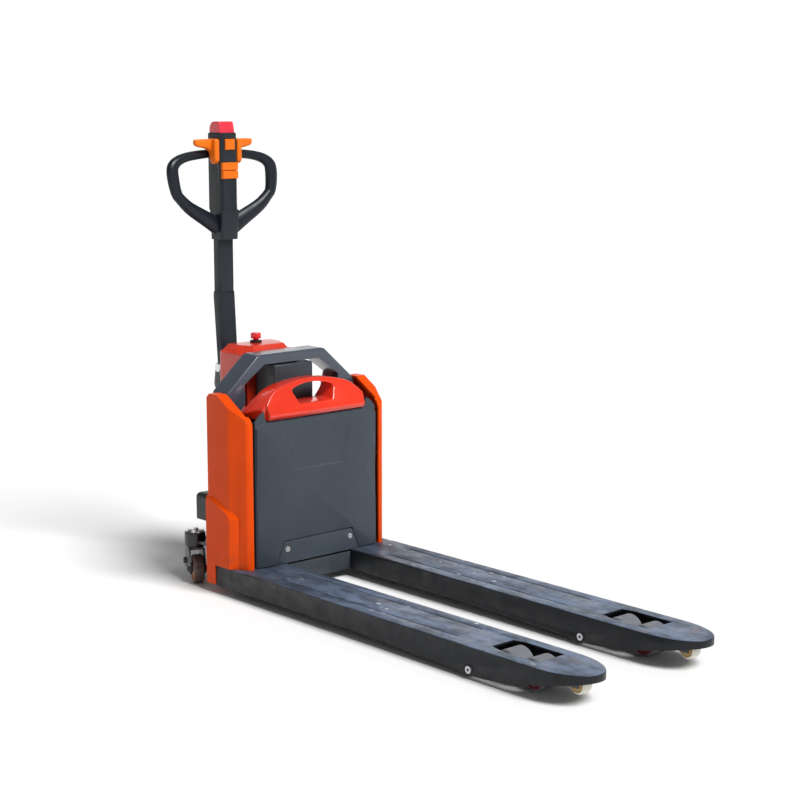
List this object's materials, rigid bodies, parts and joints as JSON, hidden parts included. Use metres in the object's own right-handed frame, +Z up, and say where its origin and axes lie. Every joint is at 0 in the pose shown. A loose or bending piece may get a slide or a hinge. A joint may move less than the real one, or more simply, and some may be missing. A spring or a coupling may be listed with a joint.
{
  "type": "electric pallet truck",
  "caption": "Walk-behind electric pallet truck with lifting forks, steered drive wheel, folding tiller and lift-out battery.",
  "frame": {"origin": "middle of the truck's footprint on the floor, forks lowered and tiller upright", "axes": "+X from the drive end to the fork tips, +Y to the left of someone walking forks first, +Z up"},
  "size_m": [1.703, 0.558, 1.294],
  "materials": {
    "fork_paint": "worn satin",
    "frame_black": "satin",
    "panel_orange": "gloss",
    "cover_red": "gloss",
    "housing_grey": "satin",
    "guard_grey": "satin",
    "handle_red": "gloss",
    "battery_black": "matte",
    "tiller_paint": "satin",
    "head_black": "satin",
    "control_orange": "satin",
    "belly_red": "satin",
    "knob_red": "gloss",
    "trim_black": "matte",
    "caster_tread": "worn",
    "drive_tread": "matte",
    "roller_tread": "worn",
    "entry_tread": "worn",
    "hub_iron": "machined",
    "zinc": "plated",
    "rod_chrome": "polished",
    "unit_paint": "satin",
    "heatsink": "cast",
    "fender_grey": "satin"
  },
  "bodies": {
    "base": {"base_frame": "frame_black", "tower_cover": "cover_red", "tower_lid": "cover_red", "estop_collar": "trim_black", "lift_cylinder": "unit_paint", "pump_unit": "unit_paint", "controller": "heatsink", "fender_left": "fender_grey", "fender_right": "fender_grey", "caster_housing_left": "frame_black", "caster_housing_right": "frame_black", "caster_bolts": "zinc"},
    "estop": {"estop_button": "knob_red"},
    "caster_left": {"caster_yoke_left": "frame_black"},
    "caster_right": {"caster_yoke_right": "frame_black"},
    "caster_wheel_left": {"caster_wheel_left": "caster_tread"},
    "caster_wheel_right": {"caster_wheel_right": "caster_tread"},
    "steering": {"steering_arm": "frame_black", "drive_bracket": "frame_black", "drive_motor": "unit_paint", "tiller_pin": "zinc"},
    "drive_wheel": {"drive_tyre": "drive_tread", "drive_hub": "hub_iron"},
    "tiller": {"tiller_arm": "tiller_paint", "tiller_tube": "tiller_paint", "head_shell": "head_black", "grip_loop": "head_black"},
    "throttle": {"throttle_left": "control_orange", "throttle_right": "control_orange"},
    "horn": {"horn_button": "control_orange"},
    "raise_key": {"raise_button": "control_orange"},
    "lower_key": {"lower_button": "control_orange"},
    "belly": {"belly_button": "belly_red"},
    "chassis": {"fork_left": "fork_paint", "fork_right": "fork_paint", "chassis_frame": "fork_paint", "panel_left": "panel_orange", "panel_right": "panel_orange", "battery_housing": "housing_grey", "access_cover": "housing_grey", "cover_bolts": "zinc", "guard_frame": "guard_grey", "lift_rod": "rod_chrome", "fork_pins": "zinc", "entry_axles": "frame_black"},
    "battery": {"battery_case": "battery_black", "battery_handle": "handle_red"},
    "lever": {"lever_shaft": "frame_black"},
    "bracket_left": {"load_bracket_left": "frame_black"},
    "rod_left": {"push_rod_left": "frame_black"},
    "bogie_left": {"bogie_left": "frame_black"},
    "roller_left_rear": {"load_roller_left_rear": "roller_tread"},
    "roller_left_front": {"load_roller_left_front": "roller_tread"},
    "entry_left": {"entry_roller_left": "entry_tread"},
    "bracket_right": {"load_bracket_right": "frame_black"},
    "rod_right": {"push_rod_right": "frame_black"},
    "bogie_right": {"bogie_right": "frame_black"},
    "roller_right_rear": {"load_roller_right_rear": "roller_tread"},
    "roller_right_front": {"load_roller_right_front": "roller_tread"},
    "entry_right": {"entry_roller_right": "entry_tread"}
  },
  "joints": [
    {"name": "lift", "type": "slide", "parent": "base", "child": "chassis", "axis": [0, 0, 1], "range_m": [0, 0.115]},
    {"name": "battery_out", "type": "slide", "parent": "chassis", "child": "battery", "axis": [0, 0, 1], "range_m": [0, 0.42]},
    {"name": "estop_push", "type": "slide", "parent": "base", "child": "estop", "axis": [0, 0, -1], "range_m": [0, 0.005]},
    {"name": "steer", "type": "hinge", "parent": "base", "child": "steering", "pos_m": [-0.6585, 0, 0.24], "axis": [0, 0, 1], "range_deg": [-90, 90]},
    {"name": "drive_spin", "type": "hinge", "parent": "steering", "child": "drive_wheel", "pos_m": [-0.6585, 0, 0.105], "axis": [0, 1, 0], "continuous": true},
    {"name": "tiller_tilt", "type": "hinge", "parent": "steering", "child": "tiller", "pos_m": [-0.8015, 0, 0.578], "axis": [0, -1, 0], "range_deg": [0, 75], "stiffness_Nm_per_rad": 30, "springref_deg": -14.32},
    {"name": "throttle_turn", "type": "hinge", "parent": "tiller", "child": "throttle", "pos_m": [-0.8015, 0, 1.206], "axis": [0, 1, 0], "range_deg": [-12, 12], "stiffness_Nm_per_rad": 0.6},
    {"name": "horn_push", "type": "slide", "parent": "tiller", "child": "horn", "axis": [-1, 0, 0], "range_m": [0, 0.0025], "stiffness_N_per_m": 600, "springref_m": -0.001},
    {"name": "raise_push", "type": "slide", "parent": "tiller", "child": "raise_key", "axis": [-1, 0, 0], "range_m": [0, 0.0025], "stiffness_N_per_m": 600, "springref_m": -0.001},
    {"name": "lower_push", "type": "slide", "parent": "tiller", "child": "lower_key", "axis": [-1, 0, 0], "range_m": [0, 0.0025], "stiffness_N_per_m": 600, "springref_m": -0.001},
    {"name": "belly_push", "type": "slide", "parent": "tiller", "child": "belly", "axis": [0, 0, -1], "range_m": [0, 0.005], "stiffness_N_per_m": 800, "springref_m": -0.004},
    {"name": "lever_turn", "type": "hinge", "parent": "chassis", "child": "lever", "pos_m": [-0.4735, 0, 0.0246], "axis": [0, 1, 0], "range_deg": [0, 63.95]},
    {"name": "caster_swivel_left", "type": "hinge", "parent": "base", "child": "caster_left", "pos_m": [-0.6645, 0.231, 0.12], "axis": [0, 0, 1], "continuous": true},
    {"name": "caster_roll_left", "type": "hinge", "parent": "caster_left", "child": "caster_wheel_left", "pos_m": [-0.63242, 0.24734, 0.041], "axis": [-0.454, 0.891, 0], "continuous": true},
    {"name": "bracket_turn_left", "type": "hinge", "parent": "chassis", "child": "bracket_left", "pos_m": [0.5051, 0.1965, 0.0246], "axis": [0, 1, 0], "range_deg": [0, 63.95]},
    {"name": "rod_turn_left", "type": "hinge", "parent": "bracket_left", "child": "rod_left", "pos_m": [0.5051, 0.1965, 0.06], "axis": [0, 1, 0], "range_deg": [-63.95, 0]},
    {"name": "bogie_turn_left", "type": "hinge", "parent": "bracket_left", "child": "bogie_left", "pos_m": [0.6235, 0.1965, 0.04], "axis": [0, 1, 0], "range_deg": [-63.95, 0]},
    {"name": "roll_left_rear", "type": "hinge", "parent": "bogie_left", "child": "roller_left_rear", "pos_m": [0.58025, 0.1965, 0.04], "axis": [0, 1, 0], "continuous": true},
    {"name": "roll_left_front", "type": "hinge", "parent": "bogie_left", "child": "roller_left_front", "pos_m": [0.66675, 0.1965, 0.04], "axis": [0, 1, 0], "continuous": true},
    {"name": "entry_roll_left", "type": "hinge", "parent": "chassis", "child": "entry_left", "pos_m": [0.7915, 0.1965, 0.045], "axis": [0, 1, 0], "continuous": true},
    {"name": "caster_swivel_right", "type": "hinge", "parent": "base", "child": "caster_right", "pos_m": [-0.6645, -0.231, 0.12], "axis": [0, 0, 1], "continuous": true},
    {"name": "caster_roll_right", "type": "hinge", "parent": "caster_right", "child": "caster_wheel_right", "pos_m": [-0.63242, -0.24734, 0.041], "axis": [0.454, 0.891, 0], "continuous": true},
    {"name": "bracket_turn_right", "type": "hinge", "parent": "chassis", "child": "bracket_right", "pos_m": [0.5051, -0.1965, 0.0246], "axis": [0, 1, 0], "range_deg": [0, 63.95]},
    {"name": "rod_turn_right", "type": "hinge", "parent": "bracket_right", "child": "rod_right", "pos_m": [0.5051, -0.1965, 0.06], "axis": [0, 1, 0], "range_deg": [-63.95, 0]},
    {"name": "bogie_turn_right", "type": "hinge", "parent": "bracket_right", "child": "bogie_right", "pos_m": [0.6235, -0.1965, 0.04], "axis": [0, 1, 0], "range_deg": [-63.95, 0]},
    {"name": "roll_right_rear", "type": "hinge", "parent": "bogie_right", "child": "roller_right_rear", "pos_m": [0.58025, -0.1965, 0.04], "axis": [0, 1, 0], "continuous": true},
    {"name": "roll_right_front", "type": "hinge", "parent": "bogie_right", "child": "roller_right_front", "pos_m": [0.66675, -0.1965, 0.04], "axis": [0, 1, 0], "continuous": true},
    {"name": "entry_roll_right", "type": "hinge", "parent": "chassis", "child": "entry_right", "pos_m": [0.7915, -0.1965, 0.045], "axis": [0, 1, 0], "continuous": true}
  ],
  "couplings": [
    {"joint": "lever_turn", "follows": "lift", "rad_per_m": 9.7044},
    {"joint": "bracket_turn_left", "follows": "lift", "rad_per_m": 9.7044},
    {"joint": "rod_turn_left", "follows": "lift", "rad_per_m": -9.7044},
    {"joint": "bogie_turn_left", "follows": "lift", "rad_per_m": -9.7044},
    {"joint": "bracket_turn_right", "follows": "lift", "rad_per_m": 9.7044},
    {"joint": "rod_turn_right", "follows": "lift", "rad_per_m": -9.7044},
    {"joint": "bogie_turn_right", "follows": "lift", "rad_per_m": -9.7044}
  ]
}
